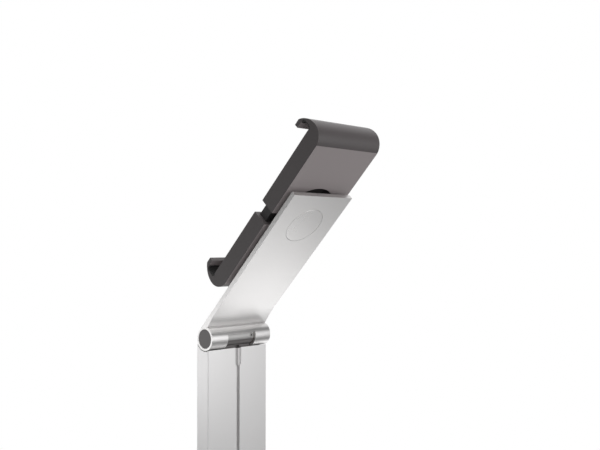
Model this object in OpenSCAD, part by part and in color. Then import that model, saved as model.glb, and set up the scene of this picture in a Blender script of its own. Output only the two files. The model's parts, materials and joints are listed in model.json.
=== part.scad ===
// Floor stand that holds a tablet between two sliding jaws.
// The jaws sit on a core that turns on a tilting arm, and the arm's barrel is hinged on a column.
// Millimetres. Origin at the middle of the floor face, Z up, the user's side is -Y.

/* [Base] */
// Height of the arm's hinge axis above the floor
hinge_height = 1030; // [700:10:1300]
// Width of the base plate
base_w = 300; // [240:5:360]
// Depth of the base plate, front to back
base_d = 320; // [300:5:380]
// Thickness of the base plate
base_t = 8; // [7:0.5:12]
// Radius of the base plate's corners
base_corner_r = 30; // [10:1:60]
// Radius of a floor pad
pad_r = 15; // [8:1:25]
// Thickness of a floor pad
pad_t = 3; // [2:0.5:6]
// Distance of a floor pad's middle from the plate's edges
pad_inset = 40; // [28:1:60]

/* [Column] */
// Width of the column
column_w = 72; // [68:1:90]
// Distance of the column's front face from the hinge axis
column_front = 11.1; // [10.9:0.1:13]
// Distance of the column's back face from the hinge axis
column_back = 5.1; // [4.6:0.1:7]
// Wall of the column
column_wall = 2.5; // [2:0.1:3]
// Radius of the column's outer corners
column_corner_r = 1; // [0.5:0.1:2]
// Height of the column's front lip below the hinge axis
lip_drop = 5; // [4:0.5:8]
// Gap between the barrel and the column's saddle
saddle_gap = 0.75; // [0.4:0.05:0.8]
// Width of the cable groove in the column's back
groove_w = 3.6; // [2.5:0.1:5]
// Depth of the cable groove
groove_d = 5; // [4:0.1:6]
// Width of the cable notch at the groove's top
notch_w = 7.2; // [6:0.1:10]
// Depth of the cable notch below the hinge axis
notch_drop = 25.6; // [20:0.1:40]
// Depth of the cable notch
notch_d = 2.4; // [2:0.1:3]
// Wall on each side of the cable groove
groove_wall = 3.2; // [3:0.1:4]
// Height of the plugged length
plug_h = 46; // [36:1:60]
// Clearance around a prong in the column's chamber
plug_gap = 0.15; // [0.05:0.05:0.3]
// Distance of the plug screws from the middle
plug_screw_x = 14; // [12:0.5:17]
// Distance of the outer base screws from the middle
port_x = 29.5; // [29:0.1:29.8]
// Wall between a chamber and an outer screw port
port_wall = 1.5; // [1.2:0.1:2]
// Depth of the cable's way across the hinge block
block_groove = 2.5; // [2:0.1:3]
// Radius of a plug screw
plug_screw_r = 2.5; // [2:0.1:3]
// Length of a plug screw
plug_screw_l = 9; // [8:0.5:10]
// Radius of a base screw
base_screw_r = 4; // [3:0.5:4]
// Length of a base screw
base_screw_l = 24; // [18:1:25]

/* [Hinge] */
// Outer radius of the arm's barrel
barrel_r = 10.75; // [10.5:0.05:11.2]
// Inner radius of the arm's barrel
bore_r = 8.75; // [8.7:0.05:9]
// Half width of the barrel's window
window_x = 17; // [15:0.5:19]
// Angle of the window's upper edge above the horizontal
window_angle = 20; // [10:1:24]
// Clearance between the knuckle and the barrel's bore
knuckle_gap = 0.35; // [0.3:0.05:0.5]
// Clearance at the knuckle's two ends
knuckle_end_gap = 0.3; // [0.2:0.05:0.5]
// Distance of the neck's front face from the hinge axis
neck_front = 3; // [2.5:0.1:3.2]
// Radius of the hinge shaft
shaft_r = 4; // [3.5:0.1:4.5]
// Running clearance around shafts
run_gap = 0.05; // [0.03:0.01:0.08]
// Face clearance between stacked pieces
seat_gap = 0.05; // [0.03:0.01:0.1]
// Length of a friction bush
bush_l = 6.8; // [5:0.1:7.5]
// Thickness of a thrust washer
washer_t = 1; // [0.8:0.1:1.2]
// Thickness of a disc spring
spring_t = 0.8; // [0.6:0.1:1]
// Dish of a disc spring
spring_dish = 0.4; // [0.3:0.05:0.5]
// Disc springs on each side of the hinge
spring_count = 3; // [2:1:3]
// Height of a hinge nut
nut_h = 4; // [3:0.5:4]
// Width across the flats of a hinge nut
nut_af = 13; // [12:0.5:13]
// Drop of the knuckle's split below the hinge axis
split_drop = 2.6; // [2.6:0.1:2.8]
// Radius of a cap screw
cap_screw_r = 1; // [0.8:0.05:1]
// Length of a cap screw
cap_screw_l = 8; // [7:0.5:8]
// Distance of the cap screws from the middle
cap_screw_x = 8; // [6:0.5:9]
// Distance of the cap screws from the hinge axis, to the front and to the back
cap_screw_y = 5.5; // [5.4:0.1:5.6]
// Height of the cap screws' heads above the hinge axis
cap_screw_z = 3.6; // [3.4:0.1:3.7]
// Thickness of an end plug's disc
plug_disc_t = 1.8; // [1:0.1:2]
// Length of an end plug's skirt
plug_skirt_l = 4; // [2:0.5:5]
// Depth of an end plug's face inside the barrel's end
plug_inset = 0.2; // [0.1:0.1:0.6]
// Thickness of an end plug's skirt
plug_skirt_t = 0.75; // [0.6:0.05:1]
// Radial room around stacked washers and springs
stack_gap = 1; // [0.8:0.1:1.2]
// Radius of the knuckle's set screw
set_screw_r = 2.4; // [2:0.05:2.4]
// Depth of the hexagon socket in a set screw
socket_depth = 1.2; // [1:0.1:2.2]
// Distance of the set screw's axis from the knuckle's end
set_screw_end = 2.9; // [2.6:0.1:4.2]
// Angle of the set screw above the horizontal
set_screw_angle = 3; // [-5:1:10]

/* [Arm] */
// Lean of the arm back from the vertical
lean = 44.3; // [35:0.1:50]
// Width of the arm and its barrel
arm_w = 72; // [70:0.5:76]
// Length of the arm from the hinge axis to its top edge
arm_l = 169.6; // [160:0.2:185]
// Thickness of the blade
blade_t = 4.2; // [4:0.1:5]
// Distance up the arm at which the flare starts
flare_start = 31; // [26:0.5:40]
// Distance up the arm at which the flare ends in a step
flare_end = 10.5; // [10:0.5:16]
// Radius of the flare
flare_r = 113; // [90:1:160]
// Height of the step at the flare's end
step_h = 0.5; // [0.3:0.1:1.4]

/* [Swivel] */
// Distance of the swivel's axis below the arm's top edge
cap_margin = 33.6; // [30:0.2:40]
// Radius of the pivot cap
cap_r = 18.3; // [17:0.1:20]
// Thickness of the pivot cap
cap_t = 1.5; // [1.2:0.1:1.6]
// Ring gap around the pivot cap
cap_gap = 0.2; // [0.1:0.05:0.3]
// Chamfer of the pivot cap's edge
cap_edge = 0.12; // [0.06:0.02:0.4]
// Radius of the swivel disc
swivel_r = 24; // [20:0.5:26]
// Thickness of the swivel disc
swivel_t = 3.5; // [3:0.1:3.8]
// Radius of the swivel's post
post_r = 6; // [5:0.1:6.5]
// Radius of the circle of the swivel screws
swivel_screw_circle = 13; // [12:0.5:14]
// Radius of a swivel screw
swivel_screw_r = 2; // [1.5:0.1:2.2]
// Thickness of the friction washer
friction_t = 1; // [0.8:0.1:1.1]
// Radius of the pivot nut's neck
nut_neck_r = 8; // [7.5:0.1:8.2]
// Thickness of the pivot nut's flange
nut_flange_t = 1.2; // [1:0.1:1.3]
// Width of the pivot nut's flange
nut_flange_w = 1.5; // [1:0.1:2]

/* [Core] */
// Width of the core
core_w = 68; // [64:0.5:70]
// Half length of the core
core_half = 70; // [66:0.5:71]
// Distance of the core's back face from the hinge axis plane
core_back = 18.2; // [18.1:0.1:18.6]
// Wall of the core
core_wall = 2; // [1.8:0.1:2.4]
// Depth inside the core
core_inside = 5.7; // [5.5:0.1:5.9]
// Thickness of the core's cover
cover_t = 1.6; // [1.4:0.1:1.8]
// Thickness of the core under the pivot spring
web_t = 2.5; // [2.2:0.1:2.6]
// Radius of the spring's counterbore
counterbore_r = 12; // [11.5:0.5:14]
// Width of a rack guide
guide_w = 2; // [1.6:0.1:2.4]
// Length of a rack guide past the rack's tail
guide_past = 4; // [2:0.5:6]
// Radius of a cover screw
cover_screw_r = 1.25; // [1:0.05:1.3]
// Length of a cover screw
cover_screw_l = 5; // [4:0.5:6]
// Radius of a cover screw's boss
cover_boss_r = 3; // [2.8:0.1:3.2]
// Distance of the cover screws from the core's sides
cover_screw_edge = 5.5; // [5:0.1:6]
// Distance of the outer cover screws from the core's ends
cover_screw_end = 10; // [8:0.5:12]
// Distance of the inner cover screws from the swivel's axis
cover_screw_mid = 24; // [20:1:30]

/* [Jaws] */
// Width of the jaws
jaw_w = 77; // [76:0.5:84]
// Gap between the jaws
jaw_split = 13; // [11:0.5:16]
// Distance of the jaws' back face from the hinge axis plane
jaw_back = 14; // [13.6:0.1:14.2]
// Distance of the jaws' front face from the hinge axis plane
jaw_front = 30; // [29.9:0.1:31]
// Distance of the tablet slot's end from the swivel's axis
slot_end = 84.9; // [84.8:0.1:85.2]
// Open thickness of the tablet slot
tablet_gap = 9.4; // [8:0.1:9.6]
// Distance of a jaw's outer end from the swivel's axis
jaw_end = 90.5; // [90:0.1:91]
// Distance of the crease at a jaw's back corner from the swivel's axis
crease_t = 78.5; // [78:0.1:79]
// Radius of the jaw's back corner
back_corner_r = 14; // [13.5:0.1:14.5]
// Radius of the jaw's front corner
front_corner_r = 20; // [19:0.1:21]
// Thickness of the front lip
lip_t = 3.9; // [3:0.1:4.5]
// Distance of the front lip's edge from the swivel's axis
lip_start = 76; // [74:0.5:80]
// Thickness of the grip pad
grip_t = 1; // [0.8:0.1:1.1]
// Radius of the grip pad's outer corners
grip_corner_r = 3; // [2:0.1:3.2]
// Distance of the grip pad's ends inside the jaw's sides
grip_side_gap = 0.3; // [0.1:0.1:0.6]
// Radius of the half-round notch in a jaw's back wall
notch_r = 29.4; // [28:0.1:30]
// Clearance between a jaw and the core
slide_gap = 0.3; // [0.25:0.05:0.4]
// Distance of the jaw's hollow end from the swivel's axis
hollow_end = 82; // [81.5:0.1:82.5]

/* [Rack and pinion] */
// Teeth on the pinion
pinion_teeth = 22; // [22:2:24]
// Module of the teeth
tooth_module = 1; // [0.98:0.01:1.02]
// Thickness of the pinion
pinion_t = 4; // [3:0.1:4.2]
// Thickness of a rack
rack_t = 3.8; // [3:0.1:4]
// Width of a rack behind its teeth
rack_w = 6.8; // [5:0.1:7.5]
// Play between the teeth
backlash = 0.3; // [0.25:0.05:0.4]
// Inward end of a rack from the swivel's axis
rack_tail = 34; // [33:0.5:40]
// Length of a rack's foot
foot_l = 6.3; // [6:0.1:6.5]
// Length of a rack's foot inside the teeth's roots
foot_in = 2; // [1:0.1:2.5]
// Gap between a rack's foot and the hollow's end
foot_gap = 0.2; // [0.1:0.1:0.4]
// Radius of a rack screw
rack_screw_r = 1.5; // [1.2:0.1:1.6]
// Length of a rack screw
rack_screw_l = 8; // [6:0.5:9]
// Distance of the inner rack screw outside the teeth's roots
rack_screw_in = 2; // [1:0.1:4]
// Distance of the outer rack screw from the foot's outer end
rack_screw_edge = 4; // [3.5:0.1:6]

/* [Lock] */
// Radius of the lock screw
lock_r = 2; // [1.8:0.1:2.2]
// Depth of the lock screw's outer end inside the core's side
lock_inset = 0.5; // [0.3:0.1:1]
// Length of the lock screw's tip
tip_l = 3.9; // [3.5:0.1:4.2]
// Gap between the lock screw's tip and the rack
tip_gap = 0.1; // [0.05:0.05:0.2]
// Half width of the lock screw's block
lock_block_half = 4; // [3.5:0.1:6]

/* [Screws] */
// Radius of a screw's head over that of its shank
head_ratio = 1.85; // [1.75:0.05:1.9]
// Room around a screw's head in the slot's floor
head_gap = 0.6; // [0.4:0.1:0.8]

/* [Hidden] */
$fn = 96;

// Added to cuts so that they pass the faces they open
over = 1;
// Depth by which ribs and bosses run into the floor that they stand on
rooted = 0.5;
base_top = pad_t + base_t;
column_depth = column_front + column_back;
hinge_y = (column_front - column_back) / 2;
saddle_r = barrel_r + saddle_gap;
plug_front = column_front - column_wall - plug_gap;
plug_back = column_back - column_wall - plug_gap;
chamber_in = groove_w / 2 + groove_wall;
chamber_out = port_x - base_screw_r - port_wall;
plug_top_drop = saddle_r + over;
plug_screw_z = plug_h / 2;

knuckle_r = bore_r - knuckle_gap;
knuckle_x = window_x - knuckle_end_gap;
set_screw_x = knuckle_x - set_screw_end;
washer_x = window_x + bush_l + seat_gap;
spring_x = washer_x + washer_t + seat_gap;
spring_pitch = spring_t + spring_dish;
nut_x = spring_x + spring_count * spring_pitch + seat_gap;
shaft_end = nut_x + nut_h + over;
plug_face_x = arm_w / 2 - plug_inset;

pivot_s = arm_l - cap_margin;
blade_front = barrel_r;
blade_back = barrel_r - blade_t;
cap_floor = blade_back + cap_t + seat_gap;
swivel_back = blade_front + seat_gap;
swivel_front = swivel_back + swivel_t;
swivel_screw_l = swivel_front - cap_floor - 0.3;
friction_back = swivel_front + seat_gap;
boss_back = friction_back + friction_t + seat_gap;
core_floor = core_back + core_wall;
core_front = core_floor + core_inside;
cover_front = core_front + cover_t;
web_front = boss_back + web_t;
pivot_spring_back = web_front + seat_gap;
nut_flange_back = pivot_spring_back + spring_pitch + seat_gap;
pinion_back = nut_flange_back + nut_flange_t + seat_gap;
post_front = pinion_back + pinion_t;

pitch_r = tooth_module * pinion_teeth / 2;
tooth_pitch = PI * tooth_module;
addendum = 0.9 * tooth_module;
dedendum = 1.15 * tooth_module;
pressure_angle = 20;
rack_root_x = pitch_r + dedendum;
rack_out_x = rack_root_x + rack_w;
rack_back = pinion_back + (pinion_t - rack_t) / 2;
foot_end = hollow_end - foot_gap;
foot_start = foot_end - foot_l;
foot_out_x = core_w / 2 - core_wall;
rack_screw_t = foot_start + foot_l / 2;
rack_screw_xs = [rack_root_x + rack_screw_in, foot_out_x - rack_screw_edge];

hollow_back = core_back - slide_gap;
hollow_front = cover_front + slide_gap;
grip_back_start = rack_screw_t + head_ratio * rack_screw_r + head_gap;
lip_back = jaw_front + tablet_gap + grip_t;
lip_front = lip_back + lip_t;

cover_screw_ts = [cover_screw_end - core_half, -cover_screw_mid, cover_screw_mid,
    core_half - cover_screw_end];
cover_screw_x = core_w / 2 - cover_screw_edge;
lock_d = core_floor + core_inside / 2;
lock_out_x = core_w / 2 - lock_inset;
tip_in_x = rack_out_x + tip_gap;
lock_in_x = tip_in_x + tip_l;

aluminium = [0.78, 0.78, 0.77];
steel = [0.55, 0.55, 0.56];
dark_steel = [0.25, 0.25, 0.26];
jaw_grey = [0.36, 0.34, 0.34];
core_grey = [0.2, 0.18, 0.18];
plug_grey = [0.4, 0.39, 0.39];
rubber = [0.08, 0.08, 0.08];
nylon = [0.85, 0.84, 0.8];
brass = [0.72, 0.6, 0.35];

// Places children in the frame of the hinge axis
module at_hinge() {
    translate([0, hinge_y, hinge_height]) children();
}

// Places children in the arm's frame: X across, Y up the arm, Z towards the user
module on_arm() {
    at_hinge() rotate([90 - lean, 0, 0]) children();
}

// Places children in the swivel's frame
module on_pivot() {
    on_arm() translate([0, pivot_s, 0]) children();
}

// Turns a shape that lies along Z so that it runs along X from x0
module along_x(x0) {
    translate([x0, 0, 0]) rotate([0, 90, 0]) children();
}

// Extrudes an outline of the YZ plane across the width w
module across(w) {
    translate([-w / 2, 0, 0]) rotate([90, 0, 90]) linear_extrude(w) children();
}

module both_sides() {
    children();
    mirror([1, 0, 0]) children();
}

module rounded_rect(w, d, r) {
    square([w - 2 * r, d], center = true);
    square([w, d - 2 * r], center = true);
    for (x = [-1, 1], y = [-1, 1]) {
        translate([x * (w / 2 - r), y * (d / 2 - r)]) circle(r);
    }
}

module ring(r_in, r_out, h) {
    difference() {
        cylinder(h = h, r = r_out);
        translate([0, 0, -over]) cylinder(h = h + 2 * over, r = r_in);
    }
}

// Countersunk screw whose head lies flush at z = 0 and whose shank runs towards -Z
module flush_screw(r, l) {
    head_r = head_ratio * r;
    head_h = head_r - r;
    difference() {
        union() {
            translate([0, 0, -head_h]) cylinder(h = head_h, r1 = r, r2 = head_r);
            translate([0, 0, -l]) cylinder(h = l - head_h / 2, r = r);
        }
        translate([0, 0, -head_h]) cylinder(h = head_h + over, r = 0.75 * r, $fn = 6);
    }
}

// The hole for a flush_screw, in a clearance of seat_gap
module flush_hole(r, l) {
    head_r = head_ratio * r + seat_gap;
    head_h = head_r - r;
    translate([0, 0, -head_h]) cylinder(h = head_h + 0.001, r1 = r, r2 = head_r);
    cylinder(h = over, r = head_r);
    translate([0, 0, -l - seat_gap]) cylinder(h = l, r = r + seat_gap);
}

// Dished ring of a disc spring
module disc_spring(r_in, r_out) {
    rotate_extrude() polygon([[r_in, spring_dish], [r_out, 0], [r_out, spring_t],
        [r_in, spring_dish + spring_t]]);
}

// Places of the four base screws
module at_base_screws() {
    for (x = [-port_x, -plug_screw_x, plug_screw_x, port_x]) {
        translate([x, 0, pad_t]) rotate([180, 0, 0]) children();
    }
}

// Places of the two screws through the column's front wall, at height z
module at_plug_screws(z) {
    for (x = [-plug_screw_x, plug_screw_x]) {
        translate([x, -column_depth / 2, z]) rotate([90, 0, 0]) children();
    }
}

foot_screw_z = base_top + plug_screw_z;
block_screw_z = hinge_height - plug_top_drop - plug_screw_z;

// Two prongs that fill the column's chambers over the height plug_h
module prongs() {
    both_sides() translate([chamber_in + plug_gap, hinge_y - plug_front, 0])
        cube([chamber_out - chamber_in - 2 * plug_gap, plug_front + plug_back, plug_h]);
}

module base_plate() {
    color("silver") difference() {
        translate([0, 0, pad_t]) linear_extrude(base_t) rounded_rect(base_w, base_d, base_corner_r);
        at_base_screws() flush_hole(base_screw_r, base_screw_l);
    }
}

module floor_pads() {
    color(rubber) for (x = [-1, 1], y = [-1, 1]) {
        translate([x * (base_w / 2 - pad_inset), y * (base_d / 2 - pad_inset), 0])
            cylinder(h = pad_t, r = pad_r);
    }
}

module base_screws() {
    color(steel) at_base_screws() flush_screw(base_screw_r, base_screw_l - seat_gap);
}

module column_section() {
    inner_d = column_depth - 2 * column_wall;
    difference() {
        rounded_rect(column_w, column_depth, column_corner_r);
        translate([-groove_w / 2, column_depth / 2 - groove_d]) square([groove_w, groove_d + over]);
        translate([-groove_w / 2, -inner_d / 2])
            square([groove_w, inner_d - groove_d]);
        for (side = [-1, 1]) {
            translate([side * (chamber_out + chamber_in) / 2, 0])
                square([chamber_out - chamber_in, inner_d], center = true);
            translate([side * port_x, 0]) circle(base_screw_r + seat_gap);
        }
    }
}

// Cable notch in the column's back wall, closed below by two 45 degree flanks
module cable_notch() {
    taper = (notch_w - groove_w) / 2;
    top = over + saddle_r;
    translate([0, hinge_y + column_back + over, hinge_height]) rotate([90, 0, 0])
        linear_extrude(notch_d + over) polygon([[-notch_w / 2, top], [notch_w / 2, top],
            [notch_w / 2, -notch_drop], [groove_w / 2, -notch_drop - taper],
            [-groove_w / 2, -notch_drop - taper], [-notch_w / 2, -notch_drop]]);
}

module column() {
    color(aluminium) difference() {
        translate([0, 0, base_top]) linear_extrude(hinge_height - lip_drop - base_top) column_section();
        at_hinge() along_x(-column_w / 2 - over) cylinder(h = column_w + 2 * over, r = saddle_r);
        cable_notch();
        at_plug_screws(foot_screw_z) flush_hole(plug_screw_r, plug_screw_l);
        at_plug_screws(block_screw_z) flush_hole(plug_screw_r, plug_screw_l);
    }
}

module column_feet() {
    color(steel) difference() {
        translate([0, 0, base_top]) prongs();
        at_base_screws() flush_hole(base_screw_r, base_screw_l);
        at_plug_screws(foot_screw_z) flush_hole(plug_screw_r, plug_screw_l);
    }
}

module foot_screws() {
    color(steel) at_plug_screws(foot_screw_z) flush_screw(plug_screw_r, plug_screw_l - seat_gap);
}

module hinge_block() {
    neck_d = neck_front + plug_back;
    neck_in = chamber_in + plug_gap;
    color(core_grey) difference() {
        union() {
            translate([0, 0, hinge_height - plug_top_drop - plug_h]) prongs();
            at_hinge() both_sides() translate([neck_in, -neck_front, -plug_top_drop - over])
                cube([knuckle_x - neck_in, neck_d, plug_top_drop + over - shaft_r]);
            at_hinge() intersection() {
                along_x(-knuckle_x) cylinder(h = 2 * knuckle_x, r = saddle_r - seat_gap);
                translate([-knuckle_x, -neck_front, -saddle_r])
                    cube([2 * knuckle_x, neck_d, saddle_r - shaft_r]);
            }
            at_hinge() knuckle_part(-knuckle_r, -split_drop);
        }
        at_hinge() translate([-notch_w / 2, plug_back - block_groove, -saddle_r - over])
            cube([notch_w, block_groove + over, saddle_r + over - knuckle_r]);
        shaft_bore();
        at_cap_screws() flush_hole(cap_screw_r, cap_screw_l);
        at_plug_screws(block_screw_z) flush_hole(plug_screw_r, plug_screw_l);
    }
}

// The knuckle's cylinder between two heights over the hinge axis
module knuckle_part(low, high) {
    intersection() {
        along_x(-knuckle_x) cylinder(h = 2 * knuckle_x, r = knuckle_r);
        translate([-knuckle_x, -knuckle_r, low]) cube([2 * knuckle_x, 2 * knuckle_r, high - low]);
    }
}

module shaft_bore() {
    at_hinge() along_x(-knuckle_x - over) cylinder(h = 2 * (knuckle_x + over), r = shaft_r + run_gap);
}

// Places of the four screws that hold the knuckle's cap
module at_cap_screws() {
    for (x = [-cap_screw_x, cap_screw_x], y = [-cap_screw_y, cap_screw_y]) {
        at_hinge() translate([x, y, cap_screw_z]) children();
    }
}

module knuckle_cap() {
    color(steel) difference() {
        at_hinge() knuckle_part(seat_gap - split_drop, knuckle_r);
        shaft_bore();
        at_set_screw() translate([0, 0, shaft_r / 2])
            cylinder(h = knuckle_r, r = set_screw_r + run_gap);
        at_cap_screws() flush_hole(cap_screw_r, cap_screw_l);
        at_cap_screws() cylinder(h = knuckle_r, r = head_ratio * cap_screw_r + seat_gap);
    }
}

module cap_screws() {
    color(dark_steel) at_cap_screws() flush_screw(cap_screw_r, cap_screw_l - seat_gap);
}

module block_screws() {
    color(steel) at_plug_screws(block_screw_z) flush_screw(plug_screw_r, plug_screw_l - seat_gap);
}

// Z runs outwards along the set screw from the hinge axis
module at_set_screw() {
    at_hinge() translate([-set_screw_x, 0, 0]) rotate([set_screw_angle - 90, 0, 0]) children();
}

module hinge_shaft() {
    color(steel) at_hinge() along_x(-shaft_end) cylinder(h = 2 * shaft_end, r = shaft_r);
}

module knuckle_set_screw() {
    inner = shaft_r + 2 * run_gap;
    outer = knuckle_r - knuckle_gap;
    color(steel) at_set_screw() difference() {
        translate([0, 0, inner]) cylinder(h = outer - inner, r = set_screw_r);
        translate([0, 0, outer - socket_depth])
            cylinder(h = socket_depth + over, r = set_screw_r / 2, $fn = 6);
    }
}

module thrust_washers() {
    color(steel) at_hinge() both_sides() along_x(washer_x)
        ring(shaft_r + run_gap, bore_r - stack_gap, washer_t);
}

module hinge_disc_springs() {
    color(dark_steel) at_hinge() both_sides() for (i = [0 : spring_count - 1]) {
        along_x(spring_x + i * spring_pitch) disc_spring(shaft_r + run_gap, bore_r - stack_gap);
    }
}

module hinge_nuts() {
    color(steel) at_hinge() both_sides() along_x(nut_x) difference() {
        cylinder(h = nut_h, r = nut_af / sqrt(3), $fn = 6);
        translate([0, 0, -over]) cylinder(h = nut_h + 2 * over, r = shaft_r + run_gap);
    }
}

// Outline of the arm in the plane across its width: barrel, blade and flare
module arm_outline() {
    flare_d = blade_back - flare_r + sqrt(pow(flare_r, 2) - pow(flare_start - flare_end, 2));
    circle(barrel_r);
    translate([0, blade_back]) square([arm_l, blade_t]);
    translate([0, flare_d + step_h]) square([flare_end + over, blade_front - flare_d - step_h]);
    difference() {
        translate([flare_end, flare_d]) square([flare_start - flare_end, blade_front - flare_d]);
        translate([flare_start, blade_back - flare_r]) circle(flare_r, $fn = 360);
    }
}

module arm() {
    cut = barrel_r + over;
    color(aluminium) on_arm() difference() {
        across(arm_w) arm_outline();
        along_x(-arm_w / 2 - over) cylinder(h = arm_w + 2 * over, r = bore_r);
        rotate([window_angle - 90 + lean, 0, 0]) translate([-window_x, -cut, -cut])
            cube([2 * window_x, 2 * cut, cut]);
        translate([0, pivot_s, blade_back - over])
            cylinder(h = cap_floor - blade_back + over, r = cap_r + cap_gap);
        at_swivel_screws() flush_hole(swivel_screw_r, swivel_screw_l);
    }
}

module friction_bushes() {
    color(brass) on_arm() both_sides() along_x(window_x)
        ring(shaft_r + run_gap, bore_r - seat_gap, bush_l);
}

module barrel_end_plugs() {
    skirt_r = bore_r - seat_gap;
    color(plug_grey) on_arm() both_sides() along_x(plug_face_x - plug_disc_t - plug_skirt_l)
        difference() {
            cylinder(h = plug_disc_t + plug_skirt_l, r = skirt_r);
            translate([0, 0, -over]) cylinder(h = plug_skirt_l + over, r = skirt_r - plug_skirt_t);
        }
}

// Z of the children points back out of the cap's recess
module at_swivel_screws() {
    translate([0, pivot_s, cap_floor]) for (turn = [90 : 120 : 330]) {
        rotate([0, 0, turn]) translate([swivel_screw_circle, 0, 0]) rotate([180, 0, 0]) children();
    }
}

module swivel_disc() {
    color(dark_steel) difference() {
        on_pivot() union() {
            translate([0, 0, swivel_back]) cylinder(h = swivel_t, r = swivel_r);
            translate([0, 0, swivel_back]) cylinder(h = post_front - swivel_back, r = post_r);
        }
        on_arm() at_swivel_screws() flush_hole(swivel_screw_r, swivel_screw_l);
    }
}

module swivel_screws() {
    color(steel) on_arm() at_swivel_screws() flush_screw(swivel_screw_r, swivel_screw_l - seat_gap);
}

module pivot_cap() {
    color(aluminium) on_pivot() translate([0, 0, blade_back]) union() {
        cylinder(h = cap_edge, r1 = cap_r - cap_edge, r2 = cap_r);
        translate([0, 0, cap_edge]) cylinder(h = cap_t - cap_edge, r = cap_r);
    }
}

module friction_washer() {
    color(nylon) on_pivot() translate([0, 0, friction_back])
        ring(post_r + run_gap, swivel_r - stack_gap, friction_t);
}

module pivot_spring() {
    color(steel) on_pivot() translate([0, 0, pivot_spring_back])
        disc_spring(post_r + run_gap, counterbore_r - stack_gap);
}

module pivot_nut() {
    color(brass) on_pivot() difference() {
        union() {
            translate([0, 0, nut_flange_back]) cylinder(h = nut_flange_t, r = nut_neck_r + nut_flange_w);
            translate([0, 0, nut_flange_back])
                cylinder(h = nut_flange_t + 2 * seat_gap + pinion_t, r = nut_neck_r);
        }
        translate([0, 0, nut_flange_back - over]) cylinder(h = 4 * pinion_t, r = post_r + run_gap);
    }
}

// Repeats children on the other side of the swivel's axis
module half_turn() {
    children();
    rotate([0, 0, 180]) children();
}

module at_cover_screws() {
    for (x = [-cover_screw_x, cover_screw_x], t = cover_screw_ts) {
        translate([x, t, cover_front]) children();
    }
}

module rack_opening() {
    depth = rack_back - slide_gap;
    translate([rack_root_x - slide_gap, core_half - core_wall - over, depth])
        cube([rack_w + 2 * slide_gap, core_wall + 2 * over, core_front - depth + over]);
}

module rack_guide() {
    start = -rack_tail - guide_past;
    translate([rack_out_x + slide_gap, start, core_floor - rooted])
        cube([guide_w, core_half - core_wall / 2 - start, core_inside + rooted]);
}

module holder_core() {
    color(core_grey) on_pivot() difference() {
        union() {
            difference() {
                translate([-core_w / 2, -core_half, core_back])
                    cube([core_w, 2 * core_half, core_front - core_back]);
                translate([core_wall - core_w / 2, core_wall - core_half, core_floor])
                    cube([core_w - 2 * core_wall, 2 * (core_half - core_wall), core_inside + over]);
            }
            translate([0, 0, boss_back]) cylinder(h = core_floor - boss_back, r = swivel_r);
            half_turn() rack_guide();
            for (x = [-cover_screw_x, cover_screw_x], t = cover_screw_ts) {
                translate([x, t, core_floor - rooted])
                    cylinder(h = core_inside + rooted, r = cover_boss_r);
            }
            translate([core_wall / 2 - core_w / 2, -lock_block_half, core_floor - rooted])
                cube([core_w / 2 - lock_in_x + over, 2 * lock_block_half, core_inside + rooted]);
        }
        half_turn() rack_opening();
        translate([0, 0, boss_back - over]) cylinder(h = core_floor, r = post_r + run_gap);
        translate([0, 0, web_front]) cylinder(h = core_floor, r = counterbore_r);
        at_cover_screws() flush_hole(cover_screw_r, cover_screw_l);
        translate([0, 0, lock_d]) along_x(-core_w / 2 - over)
            cylinder(h = core_w / 2 - rack_out_x + over, r = lock_r + run_gap);
    }
}

module core_cover() {
    color(core_grey) on_pivot() difference() {
        translate([-core_w / 2, -core_half, core_front]) cube([core_w, 2 * core_half, cover_t]);
        at_cover_screws() flush_hole(cover_screw_r, cover_screw_l);
    }
}

module cover_screws() {
    color(dark_steel) on_pivot() at_cover_screws()
        flush_screw(cover_screw_r, cover_screw_l - seat_gap);
}

// Outline of a jaw: X runs outwards from the swivel's axis, Y towards the user
module jaw_outline() {
    back_t = jaw_end - back_corner_r;
    round_d = jaw_back + sqrt(pow(back_corner_r, 2) - pow(crease_t - back_t, 2));
    front_t = jaw_end - front_corner_r;
    front_from = min(lip_start, back_t);
    translate([jaw_split / 2, jaw_back]) square([crease_t - jaw_split / 2, jaw_front - jaw_back]);
    intersection() {
        translate([back_t, round_d]) circle(back_corner_r);
        translate([crease_t, jaw_back]) square([jaw_end + over - crease_t, round_d - jaw_back]);
    }
    intersection() {
        translate([front_t, round_d]) circle(front_corner_r);
        translate([front_from, round_d]) square([jaw_end + over - front_from, lip_front - round_d]);
    }
}

// The tablet's slot as it is cut in a jaw, with room for the grip pad
module slot_outline(room) {
    deep_t = slot_end + room;
    low = jaw_front - room;
    high = jaw_front + tablet_gap + room;
    r = grip_corner_r;
    intersection() {
        translate([grip_back_start, low]) square([deep_t - grip_back_start, high - low]);
        union() {
            translate([0, low]) square([deep_t - r, high - low]);
            translate([0, low + r]) square([deep_t, high - low - 2 * r]);
            translate([deep_t - r, low + r]) circle(r);
            translate([deep_t - r, high - r]) circle(r);
        }
    }
}

module jaw() {
    hollow_w = core_w + 2 * slide_gap;
    color(jaw_grey) difference() {
        across(jaw_w) difference() {
            jaw_outline();
            slot_outline(grip_t);
            translate([0, jaw_front]) square([grip_back_start + 0.5, lip_back - jaw_front]);
            translate([0, jaw_front]) square([lip_start, lip_front]);
        }
        translate([-hollow_w / 2, -over, hollow_back])
            cube([hollow_w, hollow_end + over, hollow_front - hollow_back]);
        translate([0, jaw_split / 2, jaw_back - over])
            cylinder(h = hollow_back - jaw_back + 2 * over, r = notch_r);
        at_rack_screws() flush_hole(rack_screw_r, rack_screw_l);
    }
}

module at_rack_screws() {
    for (x = rack_screw_xs) {
        translate([x, rack_screw_t, jaw_front]) children();
    }
}

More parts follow.
